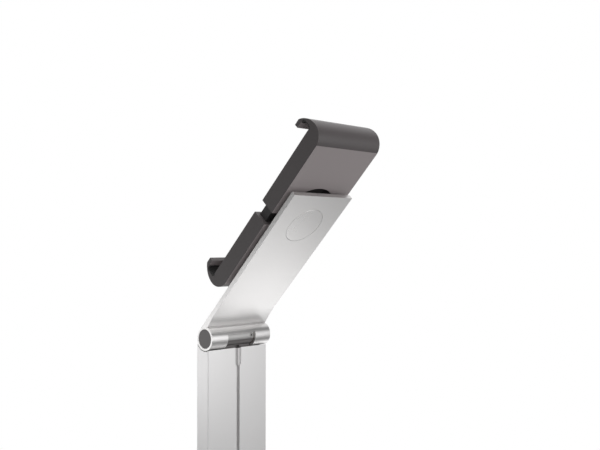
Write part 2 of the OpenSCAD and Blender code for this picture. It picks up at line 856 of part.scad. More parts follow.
module grip_pad() {
    pad_w = jaw_w - 2 * grip_side_gap;
    color(rubber) across(pad_w) difference() {
        slot_outline(grip_t - seat_gap);
        slot_outline(0);
        translate([0, jaw_front]) square([grip_back_start + 0.5, tablet_gap]);
    }
}

// Half width of a rack tooth at the height h above the pitch line
function rack_half(h) = tooth_pitch / 4 - backlash / 4 - h * tan(pressure_angle);

// The four corners of the rack tooth whose middle is at t
function rack_tooth(t) = [
    [rack_root_x, t - rack_half(-dedendum)],
    [pitch_r - addendum, t - rack_half(addendum)],
    [pitch_r - addendum, t + rack_half(addendum)],
    [rack_root_x, t + rack_half(-dedendum)]];

module rack() {
    first = -10;
    last = 3;
    teeth = [for (i = [first : last]) each rack_tooth((i + 0.5) * tooth_pitch)];
    color(steel) difference() {
        union() {
            translate([0, 0, rack_back]) linear_extrude(rack_t) polygon(concat(
                [[rack_out_x, -rack_tail], [rack_root_x, -rack_tail]], teeth,
                [[rack_root_x, foot_end], [rack_out_x, foot_end]]));
            translate([rack_root_x - foot_in, foot_start, core_back])
                cube([foot_out_x - rack_root_x + foot_in, foot_l, cover_front - core_back]);
        }
        at_rack_screws() flush_hole(rack_screw_r, rack_screw_l);
    }
}

module rack_screws() {
    color(dark_steel) at_rack_screws() flush_screw(rack_screw_r, rack_screw_l - seat_gap);
}

// Involute of the base circle at roll angle a, in degrees
function involute(base, a) = [base * (cos(a) + a * PI / 180 * sin(a)),
    base * (sin(a) - a * PI / 180 * cos(a))];
function turned(p, a) = [p[0] * cos(a) - p[1] * sin(a), p[0] * sin(a) + p[1] * cos(a)];

// One pinion tooth about angle zero, from one root to the other
function pinion_tooth() = let (
    base = pitch_r * cos(pressure_angle),
    tip = pitch_r + addendum,
    root = pitch_r - dedendum,
    steps = 5,
    tip_roll = sqrt(pow(tip / base, 2) - 1) * 180 / PI,
    pitch_roll = tan(pressure_angle) * 180 / PI,
    half = 90 / pinion_teeth - backlash / 4 / pitch_r * 180 / PI + pitch_roll - pressure_angle,
    flank = [for (i = [0 : steps]) turned(involute(base, tip_roll * i / steps), -half)]
) concat([turned([root, 0], -half)], flank,
    [for (i = [0 : steps]) let (p = flank[steps - i]) [p[0], -p[1]]], [turned([root, 0], half)]);

module pinion() {
    points = [for (i = [0 : pinion_teeth - 1], p = pinion_tooth()) turned(p, i * 360 / pinion_teeth)];
    color(brass) on_pivot() translate([0, 0, pinion_back]) difference() {
        linear_extrude(pinion_t) polygon(points);
        translate([0, 0, -over]) cylinder(h = pinion_t + 2 * over, r = nut_neck_r + run_gap);
    }
}

module lock_screw() {
    color(steel) on_pivot() translate([0, 0, lock_d]) along_x(-lock_out_x) difference() {
        cylinder(h = lock_out_x - lock_in_x, r = lock_r);
        translate([0, 0, -over]) cylinder(h = socket_depth + over, r = lock_r / 2, $fn = 6);
    }
}

module lock_tip() {
    color(nylon) on_pivot() translate([0, 0, lock_d]) along_x(-lock_in_x)
        cylinder(h = tip_l, r = lock_r - 0.4);
}

module lower() {
    on_pivot() rotate([0, 0, 180]) children();
}

base_plate();
floor_pads();
base_screws();
column();
column_feet();
foot_screws();
hinge_block();
block_screws();
knuckle_cap();
cap_screws();
hinge_shaft();
knuckle_set_screw();
thrust_washers();
hinge_disc_springs();
hinge_nuts();
arm();
friction_bushes();
barrel_end_plugs();
swivel_disc();
swivel_screws();
pivot_cap();
friction_washer();
pivot_spring();
pivot_nut();
holder_core();
core_cover();
cover_screws();
on_pivot() jaw();  // upper_jaw
on_pivot() rack();  // upper_rack
on_pivot() rack_screws();  // upper_rack_screws
on_pivot() grip_pad();  // upper_grip_pad
lower() jaw();  // lower_jaw
lower() rack();  // lower_rack
lower() rack_screws();  // lower_rack_screws
lower() grip_pad();  // lower_grip_pad
pinion();
lock_screw();
lock_tip();
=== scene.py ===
"""Dresses the adjustable tablet floor stand: finishes and rounded edges, a studio and the camera.

Metres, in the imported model's own frame: Z up, the user's side is -Y, the floor is z = 0.
"""
from __future__ import annotations

import json
import logging
import math
from dataclasses import dataclass
from enum import Enum

import bpy
from mathutils import Matrix
from mathutils import Vector

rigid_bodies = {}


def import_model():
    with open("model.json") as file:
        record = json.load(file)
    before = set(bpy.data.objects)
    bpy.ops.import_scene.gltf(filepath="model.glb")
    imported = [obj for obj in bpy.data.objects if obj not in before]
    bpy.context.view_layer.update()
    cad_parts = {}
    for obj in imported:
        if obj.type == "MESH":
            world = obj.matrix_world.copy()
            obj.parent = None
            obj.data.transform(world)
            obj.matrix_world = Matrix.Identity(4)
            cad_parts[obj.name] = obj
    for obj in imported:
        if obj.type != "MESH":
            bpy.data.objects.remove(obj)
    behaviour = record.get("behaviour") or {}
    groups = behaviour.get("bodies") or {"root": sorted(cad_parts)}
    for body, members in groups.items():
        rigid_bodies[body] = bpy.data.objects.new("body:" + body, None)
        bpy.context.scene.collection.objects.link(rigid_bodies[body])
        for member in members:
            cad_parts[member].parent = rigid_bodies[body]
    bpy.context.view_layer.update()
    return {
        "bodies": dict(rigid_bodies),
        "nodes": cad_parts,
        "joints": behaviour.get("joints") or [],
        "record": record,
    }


MM = 0.001
Triple = tuple[float, float, float]
Colour = tuple[float, float, float, float]
log = logging.getLogger("tablet_stand")


class Axis(Enum):
    """Direction in which an extrusion was drawn, or a bar was turned: X, Y or Z of the frame."""

    ACROSS = 0
    DEPTH = 1
    UP = 2


@dataclass(frozen=True)
class Grain:
    """Scale of a noise pattern.

    Attributes:
        fine: features per metre.
        detail: octaves of finer noise.
        drawn: features per metre along the axis of a pattern that follows one.
    """

    fine: float
    detail: float
    drawn: float = 0.0

    def frequency(self, line: Axis | None) -> Triple:
        """Works out how dense the pattern is each way.

        Args:
            line: the axis that the pattern follows, or None.

        Returns:
            Features per metre along X, Y and Z.
        """
        return tuple(self.drawn if axis is line else self.fine for axis in Axis)


class Signal:
    """A shader socket that Python expressions combine with numbers and with other sockets."""

    MIDDLE = 0.5

    def __init__(self, socket: bpy.types.NodeSocket) -> None:
        """Wraps a socket.

        Args:
            socket: an output socket whose value the expression uses.
        """
        self.socket = socket

    def _math(self, operation: str, first: Signal | float, second: Signal | float) -> Signal:
        """Adds one Math node.

        Args:
            operation: the Math node's operation.
            first: left operand.
            second: right operand.

        Returns:
            The node's result.
        """
        tree = self.socket.id_data
        node = tree.nodes.new("ShaderNodeMath")
        node.operation = operation
        for slot, value in zip(node.inputs, (first, second)):
            if isinstance(value, Signal):
                tree.links.new(value.socket, slot)
            else:
                slot.default_value = value
        return Signal(node.outputs[0])

    def __add__(self, other: Signal | float) -> Signal:
        """self + other."""
        return self._math("ADD", self, other)

    def __radd__(self, other: float) -> Signal:
        """other + self."""
        return self._math("ADD", other, self)

    def __sub__(self, other: Signal | float) -> Signal:
        """self - other."""
        return self._math("SUBTRACT", self, other)

    def __rsub__(self, other: float) -> Signal:
        """other - self."""
        return self._math("SUBTRACT", other, self)

    def __mul__(self, other: Signal | float) -> Signal:
        """self * other."""
        return self._math("MULTIPLY", self, other)

    def __rmul__(self, other: float) -> Signal:
        """other * self."""
        return self._math("MULTIPLY", other, self)

    def __pow__(self, other: float) -> Signal:
        """self ** other."""
        return self._math("POWER", self, other)

    def swing(self, amount: float) -> Signal:
        """Centres a pattern of 0 to 1 on zero and scales it.

        Args:
            amount: difference between the result's highest and lowest value.

        Returns:
            The centred pattern.
        """
        return (self - self.MIDDLE) * amount

    def blend(self, other: Signal, share: float) -> Signal:
        """Averages two patterns.

        Args:
            other: the second pattern.
            share: weight of this one, 0 to 1.

        Returns:
            The weighted mean.
        """
        return self * share + other * (1.0 - share)


class Graph:
    """A node tree in the making: it makes nodes of any kind and feeds their sockets."""

    # A Mix node has sockets for each kind of value; these are its factor and its colours.
    MIX_FACTOR, MIX_LOW, MIX_HIGH, MIX_RESULT = 0, 6, 7, 2

    def __init__(self, tree: bpy.types.NodeTree) -> None:
        """Keeps the tree.

        Args:
            tree: the node tree to build in.
        """
        self.tree = tree

    def node(self, kind: str, settings: dict | None = None, inputs: dict | None = None) -> bpy.types.Node:
        """Adds one node of any kind.

        Args:
            kind: the node's type name.
            settings: its properties, set first; "stops" holds a ramp's (position, colour) pairs.
            inputs: values or Signals of its sockets, by name or by index.

        Returns:
            The new node.
        """
        made = self.tree.nodes.new(kind)
        for key, value in (settings or {}).items():
            if key == "stops":
                self._set_stops(made.color_ramp, value)
            else:
                setattr(made, key, value)
        for key, value in (inputs or {}).items():
            self.feed(made, key, value)
        return made

    def vector(self, operation: str, *operands: Signal | Vector) -> Signal:
        """Combines vectors into a vector.

        Args:
            operation: the Vector Math node's operation.
            *operands: its vectors.

        Returns:
            The resulting vector.
        """
        made = self.node("ShaderNodeVectorMath", {"operation": operation}, dict(enumerate(operands)))
        return Signal(made.outputs["Vector"])

    def measure(self, operation: str, *operands: Signal | Vector) -> Signal:
        """Combines vectors into a number.

        Args:
            operation: the Vector Math node's operation.
            *operands: its vectors.

        Returns:
            The resulting number.
        """
        made = self.node("ShaderNodeVectorMath", {"operation": operation}, dict(enumerate(operands)))
        return Signal(made.outputs["Value"])

    def feed(self, node: bpy.types.Node, key: str | int, value: Signal | float | tuple) -> None:
        """Sets or links one socket.

        Args:
            node: the node that owns the socket.
            key: the socket's name or index.
            value: a Signal to link, or the value to set.
        """
        if isinstance(value, Signal):
            self.tree.links.new(value.socket, node.inputs[key])
        else:
            node.inputs[key].default_value = value

    @staticmethod
    def _set_stops(ramp: bpy.types.ColorRamp, stops: list[tuple[float, Colour]]) -> None:
        """Writes a ramp's stops.

        Args:
            ramp: the ramp to change, which holds two stops.
            stops: (position, colour) pairs in rising order, two or more.
        """
        while len(ramp.elements) < len(stops):
            ramp.elements.new(stops[len(ramp.elements)][0])
        for element, (position, colour) in zip(ramp.elements, stops):
            element.position = position
            element.color = colour

    def tint(self, low: Signal | Colour, high: Signal | Colour, mask: Signal) -> Signal:
        """Blends two colours.

        Args:
            low: colour where the mask is 0.
            high: colour where the mask is 1.
            mask: blend factor.

        Returns:
            The blended colour.
        """
        made = self.node("ShaderNodeMix", {"data_type": "RGBA"}, {
            self.MIX_FACTOR: mask, self.MIX_LOW: low, self.MIX_HIGH: high})
        return Signal(made.outputs[self.MIX_RESULT])

    def vary(self, colour: Triple, tones: tuple[float, float], mask: Signal) -> Signal:
        """Varies one colour's brightness.

        Args:
            colour: linear red, green and blue.
            tones: brightness factors where the mask is 0 and where it is 1.
            mask: blend factor.

        Returns:
            The varied colour.
        """
        return self.tint(shade(colour, tones[0]), shade(colour, tones[1]), mask)

    def fade(self, value: Signal, start: float, end: float, low: float = 0.0, high: float = 1.0) -> Signal:
        """Runs smoothly from one level to another while a value goes from start to end.

        Args:
            value: the value that is followed.
            start: value at which the fade begins.
            end: value at which it ends.
            low: level before the start.
            high: level past the end.

        Returns:
            The level.
        """
        made = self.node("ShaderNodeMapRange", {"interpolation_type": "SMOOTHSTEP"}, {
            "Value": value, "From Min": start, "From Max": end, "To Min": low, "To Max": high})
        return Signal(made.outputs["Result"])


class Recipe(Graph):
    """A material in the making: its node tree, its principled shader and the object's own coordinates."""

    NOISE_ROUGHNESS = 0.55

    def __init__(self, name: str) -> None:
        """Starts an empty principled material.

        Args:
            name: the material's name.
        """
        self.material = bpy.data.materials.new(name)
        self.material.use_nodes = True
        super().__init__(self.material.node_tree)
        self.shader = next(n for n in self.tree.nodes if n.type == "BSDF_PRINCIPLED")
        self.place = Signal(self.node("ShaderNodeTexCoord").outputs["Object"])

    def noise(self, grain: Grain, line: Axis | None = None) -> Signal:
        """Noise in object space.

        Args:
            grain: the pattern's scale.
            line: the axis that the pattern follows, or None.

        Returns:
            A value about 0.5.
        """
        mapped = self.node("ShaderNodeMapping", inputs={
            "Vector": self.place, "Scale": grain.frequency(line)})
        made = self.node("ShaderNodeTexNoise", inputs={
            "Vector": Signal(mapped.outputs["Vector"]), "Scale": 1.0, "Detail": grain.detail,
            "Roughness": self.NOISE_ROUGHNESS})
        return Signal(made.outputs["Fac"])

    def rings(self, middle: Vector, axis: Vector, grain: Grain) -> Signal:
        """Noise that depends only on the distance from a line, as a lathe or a brush wheel leaves it.

        Args:
            middle: a point of the line.
            axis: the line's direction, of length 1.
            grain: the pattern's scale along the radius.

        Returns:
            A value about 0.5.
        """
        spoke = self.vector("SUBTRACT", self.place, middle)
        radius = self.measure("LENGTH", self.vector("CROSS_PRODUCT", spoke, axis))
        made = self.node("ShaderNodeTexNoise", {"noise_dimensions": "1D"},
                         {"W": radius, "Scale": grain.fine, "Detail": grain.detail})
        return Signal(made.outputs["Fac"])

    def speckle(self, frequency: float) -> Signal:
        """Cell pattern of a moulded or sprayed texture.

        Args:
            frequency: cells per metre.

        Returns:
            Distance to the nearest cell's middle, 0 to about 1.
        """
        made = self.node("ShaderNodeTexVoronoi", inputs={"Vector": self.place, "Scale": frequency})
        return Signal(made.outputs["Distance"])

    def facing(self, direction: Vector, least: float) -> Signal:
        """Mask of the faces that look one way.

        Args:
            direction: the way, of length 1, in the object's own frame.
            least: least cosine between a face's normal and the way.

        Returns:
            1 on those faces, 0 elsewhere.
        """
        normal = Signal(self.node("ShaderNodeTexCoord").outputs["Normal"])
        made = self.node("ShaderNodeMath", {"operation": "GREATER_THAN"},
                         {0: self.measure("DOT_PRODUCT", normal, direction), 1: least})
        return Signal(made.outputs[0])

    def relief(self, height: Signal, depth: float, strength: float = 1.0) -> Signal:
        """Turns a height into a bumped normal.

        Args:
            height: the height pattern, 0 to 1.
            depth: metres of relief for a height of 1.
            strength: share of the bump that shows.

        Returns:
            The normal.
        """
        made = self.node("ShaderNodeBump", inputs={
            "Strength": strength, "Distance": depth, "Height": height})
        return Signal(made.outputs["Normal"])

    def dress(self, **sockets: Signal | float | tuple) -> bpy.types.Material:
        """Feeds the principled shader.

        Args:
            **sockets: values by socket name, with underscores for spaces.

        Returns:
            The finished material.
        """
        for key, value in sockets.items():
            self.feed(self.shader, key.replace("_", " "), value)
        return self.material


def shade(colour: Triple, factor: float = 1.0) -> Colour:
    """Scales a linear colour and adds its alpha.

    Args:
        colour: linear red, green and blue.
        factor: brightness factor.

    Returns:
        Red, green, blue and alpha.
    """
    return (*(channel * factor for channel in colour), 1.0)


@dataclass(frozen=True)
class Coat:
    """What every finish has: a colour, a mean roughness, and a material built from them.

    A coat's tones are brightness factors between which a pattern varies its colour. Its glosses are how far
    a pattern swings the roughness, and its relief is metres of height.
    """

    colour: Triple
    roughness: float

    def build(self, name: str) -> bpy.types.Material:
        """Makes the material.

        Args:
            name: the material's name.

        Returns:
            The material.
        """
        recipe = Recipe(name)
        return recipe.dress(**self.sockets(recipe))

    def sockets(self, recipe: Recipe) -> dict[str, Signal | float]:
        """Works out what the shader's sockets get.

        Args:
            recipe: the material in the making.

        Returns:
            Values by socket name, with underscores for spaces.
        """
        raise NotImplementedError


@dataclass(frozen=True)
class AnodisedAluminium(Coat):
    """Satin anodised extrusion: faint drawing lines, an even silky gloss and slight cloudiness."""

    line: Axis
    drawing: Grain = Grain(2600.0, 2.0, 5.0)
    cloud: Grain = Grain(14.0, 4.0)
    etch: Grain = Grain(4200.0, 2.0)
    tones: tuple[float, float] = (0.965, 1.03)
    drawing_gloss: float = 0.09
    cloud_gloss: float = 0.06
    drawing_share: float = 0.6
    relief: float = 0.006 * MM

    def sockets(self, recipe: Recipe) -> dict[str, Signal | float]:
        """Gives the sockets of an extrusion."""
        drawing = recipe.noise(self.drawing, self.line)
        cloud = recipe.noise(self.cloud)
        etch = recipe.noise(self.etch)
        return {
            "Base_Color": recipe.vary(self.colour, self.tones, cloud),
            "Metallic": 1.0,
            "Roughness": drawing.swing(self.drawing_gloss) + cloud.swing(self.cloud_gloss) + self.roughness,
            "Normal": recipe.relief(drawing.blend(etch, self.drawing_share), self.relief),
        }


@dataclass(frozen=True)
class SpunAluminium(Coat):
    """Disc faced on a lathe and anodised: fine rings about its axis."""

    middle: Vector
    axis: Vector
    facing: Grain = Grain(1500.0, 3.0)
    cloud: Grain = Grain(30.0, 3.0)
    tones: tuple[float, float] = (0.97, 1.02)
    facing_gloss: float = 0.02
    cloud_gloss: float = 0.04
    facing_share: float = 0.5
    relief: float = 0.0005 * MM

    def sockets(self, recipe: Recipe) -> dict[str, Signal | float]:
        """Gives the sockets of a lathe-faced disc."""
        rings = recipe.rings(self.middle, self.axis, self.facing)
        cloud = recipe.noise(self.cloud)
        return {
            "Base_Color": recipe.vary(self.colour, self.tones, rings.blend(cloud, self.facing_share)),
            "Metallic": 1.0,
            "Roughness": rings.swing(self.facing_gloss) + cloud.swing(self.cloud_gloss) + self.roughness,
            "Normal": recipe.relief(rings, self.relief),
        }


@dataclass(frozen=True)
class FlakePlastic(Coat):
    """Plastic with metal flake whose wide back faces are painted lighter and whose cut ends are painted
    darker.

    The lighter backs are painted light and the darker ends are painted shade.

    Attributes:
        lit_way: the way that the wide back faces look, which get the painted light.
        shaded_way: the way that one of the cut ends looks, and against which the other looks; both get the
            painted shade.
        painted_light_lift: how much lighter the back faces are painted.
        drop: how much darker the cut ends are painted, as painted shade.
        flat: least cosine at which a face counts as looking that way.
    """

    lit_way: Vector
    shaded_way: Vector = Vector((1.0, 0.0, 0.0))
    painted_light_lift: float = 3.3
    drop: float = 0.62
    flat: float = 0.995
    flow: Grain = Grain(22.0, 5.0)
    flake: Grain = Grain(2600.0, 3.0)
    body_tones: tuple[float, float] = (0.93, 1.07)
    face_tones: tuple[float, float] = (0.95, 1.05)
    flow_gloss: float = 0.1
    flake_gloss: float = 0.06
    flow_share: float = 0.6
    relief: float = 0.012 * MM
    relief_share: float = 0.6

    def sockets(self, recipe: Recipe) -> dict[str, Signal | float]:
        """Gives the sockets of a plastic with flake, with painted light on the back faces and painted shade
        on the cut ends.
        """
        flow = recipe.noise(self.flow)
        flake = recipe.noise(self.flake)
        mottle = flow.blend(flake, self.flow_share)
        body = recipe.vary(self.colour, self.body_tones, mottle)
        # back is the painted light on the back faces, end is the painted shade on the cut ends.
        back = recipe.vary(self.colour, self.scaled(self.painted_light_lift), mottle)
        end = recipe.vary(self.colour, self.scaled(self.drop), mottle)
        ends = recipe.facing(self.shaded_way, self.flat) + recipe.facing(-self.shaded_way, self.flat)
        painted_light_body = recipe.tint(body, back, recipe.facing(self.lit_way, self.flat))
        return {
            "Base_Color": recipe.tint(painted_light_body, end, ends),
            "Roughness": flow.swing(self.flow_gloss) + flake.swing(self.flake_gloss) + self.roughness,
            "Normal": recipe.relief(flake, self.relief, self.relief_share),
        }

    def scaled(self, factor: float) -> tuple[float, float]:
        """Returns the tones of a flat face whose brightness is scaled by a factor: above 1 for the painted
        light on the backs, below 1 for the painted shade on the ends.
        """
        return self.face_tones[0] * factor, self.face_tones[1] * factor


@dataclass(frozen=True)
class MouldedPlastic(Coat):
    """Matte moulded plastic with an eroded mould texture and faint flow clouds.

    Attributes:
        erosion: pits of the mould texture per metre.
    """

    erosion: float = 1900.0
    relief: float = 0.025 * MM
    fine_detail: float = 3.0
    flow: Grain = Grain(22.0, 5.0)
    tones: tuple[float, float] = (0.93, 1.07)
    flow_gloss: float = 0.1
    fine_gloss: float = 0.06
    flow_share: float = 0.7
    pit_share: float = 0.5
    relief_share: float = 0.6

    def sockets(self, recipe: Recipe) -> dict[str, Signal | float]:
        """Gives the sockets of a moulded plastic."""
        pits = recipe.speckle(self.erosion)
        flow = recipe.noise(self.flow)
        fine = recipe.noise(Grain(self.erosion, self.fine_detail))
        return {
            "Base_Color": recipe.vary(self.colour, self.tones, flow.blend(fine, self.flow_share)),
            "Roughness": flow.swing(self.flow_gloss) + fine.swing(self.fine_gloss) + self.roughness,
            "Normal": recipe.relief(pits.blend(fine, self.pit_share), self.relief, self.relief_share),
        }


@dataclass(frozen=True)
class PowderCoat(Coat):
    """Sprayed and baked coat on steel: a soft orange peel over fine metallic grain."""

    metal: float = 0.35
    peel: Grain = Grain(520.0, 3.0)
    dust: Grain = Grain(3400.0, 1.0)
    wear: Grain = Grain(9.0, 5.0)
    tones: tuple[float, float] = (0.9, 1.06)
    wear_gloss: float = 0.16
    dust_share: float = 0.6
    peel_share: float = 0.8
    relief: float = 0.05 * MM
    relief_share: float = 0.7

    def sockets(self, recipe: Recipe) -> dict[str, Signal | float]:
        """Gives the sockets of a sprayed coat."""
        peel = recipe.noise(self.peel)
        dust = recipe.noise(self.dust)
        wear = recipe.noise(self.wear)
        return {
            "Base_Color": recipe.vary(self.colour, self.tones, dust.blend(wear, self.dust_share)),
            "Metallic": self.metal,
            "Roughness": wear.swing(self.wear_gloss) + self.roughness,
            "Normal": recipe.relief(peel.blend(dust, self.peel_share), self.relief, self.relief_share),
        }


@dataclass(frozen=True)
class TurnedMetal(Coat):
    """Machined metal: fine tool marks along one axis, patchy gloss and a little handling wear."""

    axis: Axis = Axis.ACROSS
    marks: Grain = Grain(400.0, 2.0, 3800.0)
    patches: Grain = Grain(60.0, 4.0)
    tones: tuple[float, float] = (0.88, 1.08)
    marks_gloss: float = 0.14
    patches_gloss: float = 0.12
    relief: float = 0.012 * MM
    relief_share: float = 0.8

    def sockets(self, recipe: Recipe) -> dict[str, Signal | float]:
        """Gives the sockets of a machined metal."""
        marks = recipe.noise(self.marks, self.axis)
        patches = recipe.noise(self.patches)
        return {
            "Base_Color": recipe.vary(self.colour, self.tones, patches),
            "Metallic": 1.0,
            "Roughness": marks.swing(self.marks_gloss) + patches.swing(self.patches_gloss) + self.roughness,
            "Normal": recipe.relief(marks, self.relief, self.relief_share),
        }


@dataclass(frozen=True)
class MattRubber(Coat):
    """Moulded rubber: dull, slightly dusty, with a fine pebble grain.

    Attributes:
        pebbles: pebbles of the grain per metre.
        settling: power that gathers the dust into patches.
    """

    pebbles: float = 1400.0
    dust: Grain = Grain(45.0, 5.0)
    tones: tuple[float, float] = (0.85, 1.6)
    settling: float = 2.0
    dust_gloss: float = 0.15
    relief: float = 0.06 * MM
    relief_share: float = 0.5

    def sockets(self, recipe: Recipe) -> dict[str, Signal | float]:
        """Gives the sockets of a rubber."""
        dust = recipe.noise(self.dust)
        return {
            "Base_Color": recipe.vary(self.colour, self.tones, dust ** self.settling),
            "Roughness": dust.swing(self.dust_gloss) + self.roughness,
            "Normal": recipe.relief(recipe.speckle(self.pebbles), self.relief, self.relief_share),
        }


class Finish(Enum):
    """Finishes by name, each with its recipe; the cap and the jaws bring their own."""

    base_paint = PowderCoat((0.46, 0.46, 0.455), 0.42)
    satin_aluminium = AnodisedAluminium((0.78, 0.773, 0.773), 0.36, Axis.UP)
    arm_aluminium = AnodisedAluminium((0.80, 0.79, 0.785), 0.33, Axis.ACROSS)
    block_metal = PowderCoat((0.16, 0.15, 0.15), 0.42)
    knuckle_metal = TurnedMetal((0.50, 0.495, 0.49), 0.42)
    set_screw_steel = TurnedMetal((0.36, 0.355, 0.35), 0.5)
    screw_steel = TurnedMetal((0.52, 0.52, 0.52), 0.32)
    bush_bronze = TurnedMetal((0.5, 0.38, 0.24), 0.38)
    plug_plastic = MouldedPlastic((0.145, 0.138, 0.138), 0.6)
    core_plastic = MouldedPlastic((0.022, 0.02, 0.02), 0.6)
    pad_rubber = MattRubber((0.018, 0.018, 0.018), 0.78)
    nylon = MouldedPlastic((0.76, 0.75, 0.7), 0.42, erosion=900.0, relief=0.012 * MM)


class Wardrobe:
    """Makes each finish once, when a piece first asks for it, and puts finishes and edges on pieces."""

    # Faces that meet at under FLAT degrees are one face; at CORNER degrees or more they have an edge.
    WELD_GAP = 0.002 * MM
    FLAT = 0.4
    CORNER = 28.0
    EDGE_SEGMENTS = 2

    def __init__(self, frame: dict) -> None:
        """Keeps the frame's nodes.
        """
        self.nodes = frame["nodes"]
        self.joints = {joint["name"]: joint for joint in frame["joints"]}
        self.made: dict[Finish, bpy.types.Material] = {}

    def material(self, finish: Finish) -> bpy.types.Material:
        """Returns the finish's material and makes it the first time."""
        if finish not in self.made:
            self.made[finish] = finish.value.build(finish.name + "_finish")
        return self.made[finish]

    def dress(self, name: str, finish: Finish | bpy.types.Material, edge: float = 0.0,
              corner: float = CORNER) -> None:
        """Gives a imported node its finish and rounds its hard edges.

        Args:
            name: the node.
            finish: what it is made of, or a material that a sub-assembly brings.
            edge: radius of its rounded edges in metres, or 0 to leave them.
            corner: least angle in degrees between two faces that counts as an edge.
        """
        piece = self.nodes[name]
        material = self.material(finish) if isinstance(finish, Finish) else finish
        for slot in piece.material_slots:
            slot.material = material
        if edge > 0.0:
            self.round_edges(piece, edge, corner)
        log.info("dressed %s in %s, edges %.2f mm", name, material.name, edge / MM)

    def round_edges(self, piece: bpy.types.Object, edge: float, corner: float) -> None:
        """Adds modifiers that join the split faces, drop flat triangles' edges and round what is left.

        Args:
            piece: the object.
            edge: radius in metres.
            corner: least angle in degrees that counts as an edge.
        """
        weld = piece.modifiers.new("joined", "WELD")
        weld.merge_threshold = self.WELD_GAP
        flat = piece.modifiers.new("flat_faces", "DECIMATE")
        flat.decimate_type = "DISSOLVE"
        flat.angle_limit = math.radians(self.FLAT)
        bevel = piece.modifiers.new("rounded_edges", "BEVEL")
        bevel.width = edge
        bevel.segments = self.EDGE_SEGMENTS
        bevel.limit_method = "ANGLE"
        bevel.angle_limit = math.radians(corner)
        bevel.use_clamp_overlap = True
        bevel.miter_outer = "MITER_ARC"
        normals = piece.modifiers.new("even_normals", "WEIGHTED_NORMAL")
        normals.mode = "FACE_AREA"
        normals.keep_sharp = False


@dataclass
class Base:
    """The plate on the floor, its rubber pads and the screws that hold the column."""

    plate_edge: float = 1.2 * MM
    pad_edge: float = 0.6 * MM

    def build(self, wardrobe: Wardrobe) -> None:
        """Dresses the base.

        Args:
            wardrobe: the finishes.
        """
        wardrobe.dress("base_plate", Finish.base_paint, self.plate_edge)
        wardrobe.dress("floor_pads", Finish.pad_rubber, self.pad_edge)
        wardrobe.dress("base_screws", Finish.screw_steel)


@dataclass
class Column:
    """The extruded column, the blocks plugged into its ends and their screws."""

    edge: float = 0.12 * MM
    block_edge: float = 0.3 * MM
    cap_edge: float = 0.15 * MM

    def build(self, wardrobe: Wardrobe) -> None:
        """Dresses the column.

        Args:
            wardrobe: the finishes.
        """
        wardrobe.dress("column", Finish.satin_aluminium, self.edge)
        wardrobe.dress("column_feet", Finish.block_metal, self.block_edge)
        wardrobe.dress("hinge_block", Finish.block_metal, self.block_edge)
        wardrobe.dress("knuckle_cap", Finish.knuckle_metal, self.cap_edge)
        for name in ("foot_screws", "block_screws", "cap_screws"):
            wardrobe.dress(name, Finish.screw_steel)
        wardrobe.dress("knuckle_set_screw", Finish.set_screw_steel)


@dataclass
class Hinge:
    """What the barrel hides: the shaft, bushes, washers, springs and nuts."""

    nut_edge: float = 0.25 * MM

    def build(self, wardrobe: Wardrobe) -> None:
        """Dresses the hinge.

        Args:
            wardrobe: the finishes.
        """
        for name in ("hinge_shaft", "thrust_washers", "hinge_disc_springs"):
            wardrobe.dress(name, Finish.screw_steel)
        wardrobe.dress("hinge_nuts", Finish.screw_steel, self.nut_edge)
        wardrobe.dress("friction_bushes", Finish.bush_bronze)


@dataclass
class Arm:
    """The tilting arm, its end plugs, the flush cap and the swivel behind it."""

    edge: float = 0.3 * MM
    plug_edge: float = 0.25 * MM
    cap_colour: Triple = (0.735, 0.725, 0.72)
    cap_roughness: float = 0.28
    cap_joint: str = "holder_turn"

    def build(self, wardrobe: Wardrobe) -> None:
        """Dresses the arm and its swivel.

        Args:
            wardrobe: the finishes.
        """
        wardrobe.dress("arm", Finish.arm_aluminium, self.edge)
        wardrobe.dress("barrel_end_plugs", Finish.plug_plastic, self.plug_edge)
        turn = wardrobe.joints[self.cap_joint]
        middle = Vector(turn["pos_m"])
        axis = Vector(turn["axis"])
        spun = SpunAluminium(self.cap_colour, self.cap_roughness, middle, axis)
        wardrobe.dress("pivot_cap", spun.build("cap_aluminium_finish"))
        wardrobe.dress("swivel_disc", Finish.block_metal)
        wardrobe.dress("friction_washer", Finish.nylon)
        for name in ("swivel_screws", "pivot_spring"):
            wardrobe.dress(name, Finish.screw_steel)
        wardrobe.dress("pivot_nut", Finish.bush_bronze)


@dataclass
class Holder:
    """The turning core between the jaws, its cover, and the lock screw in its side."""

    edge: float = 0.3 * MM

    def build(self, wardrobe: Wardrobe) -> None:
        """Dresses the core.

        Args:
            wardrobe: the finishes.
        """
        wardrobe.dress("holder_core", Finish.core_plastic, self.edge)
        wardrobe.dress("core_cover", Finish.core_plastic, self.edge)
        wardrobe.dress("cover_screws", Finish.screw_steel)
        wardrobe.dress("lock_screw", Finish.screw_steel)
        wardrobe.dress("lock_tip", Finish.nylon)


@dataclass
class Jaws:
    """The two sliding jaws with their grip pads, racks and screws, and the pinion that couples them."""

    edge: float = 0.45 * MM
    corner: float = 40.0
    pad_edge: float = 0.2 * MM
    colour: Triple = (0.090, 0.080, 0.081)
    roughness: float = 0.42
    turn: str = "holder_turn"
    sides: tuple[str, str] = ("upper", "lower")

    def build(self, wardrobe: Wardrobe) -> None:
        """Dresses both jaws and their drive.

        Args:
            wardrobe: the finishes.
        """
        back = -Vector(wardrobe.joints[self.turn]["axis"])
        # The jaw plastic gets painted light on its back faces and painted shade on its cut ends.
        flake = FlakePlastic(self.colour, self.roughness, back).build("jaw_plastic_finish")
        for side in self.sides:
            wardrobe.dress(side + "_jaw", flake, self.edge, self.corner)
            wardrobe.dress(side + "_grip_pad", Finish.pad_rubber, self.pad_edge)
            wardrobe.dress(side + "_rack", Finish.screw_steel)
            wardrobe.dress(side + "_rack_screws", Finish.screw_steel)
        wardrobe.dress("pinion", Finish.bush_bronze)


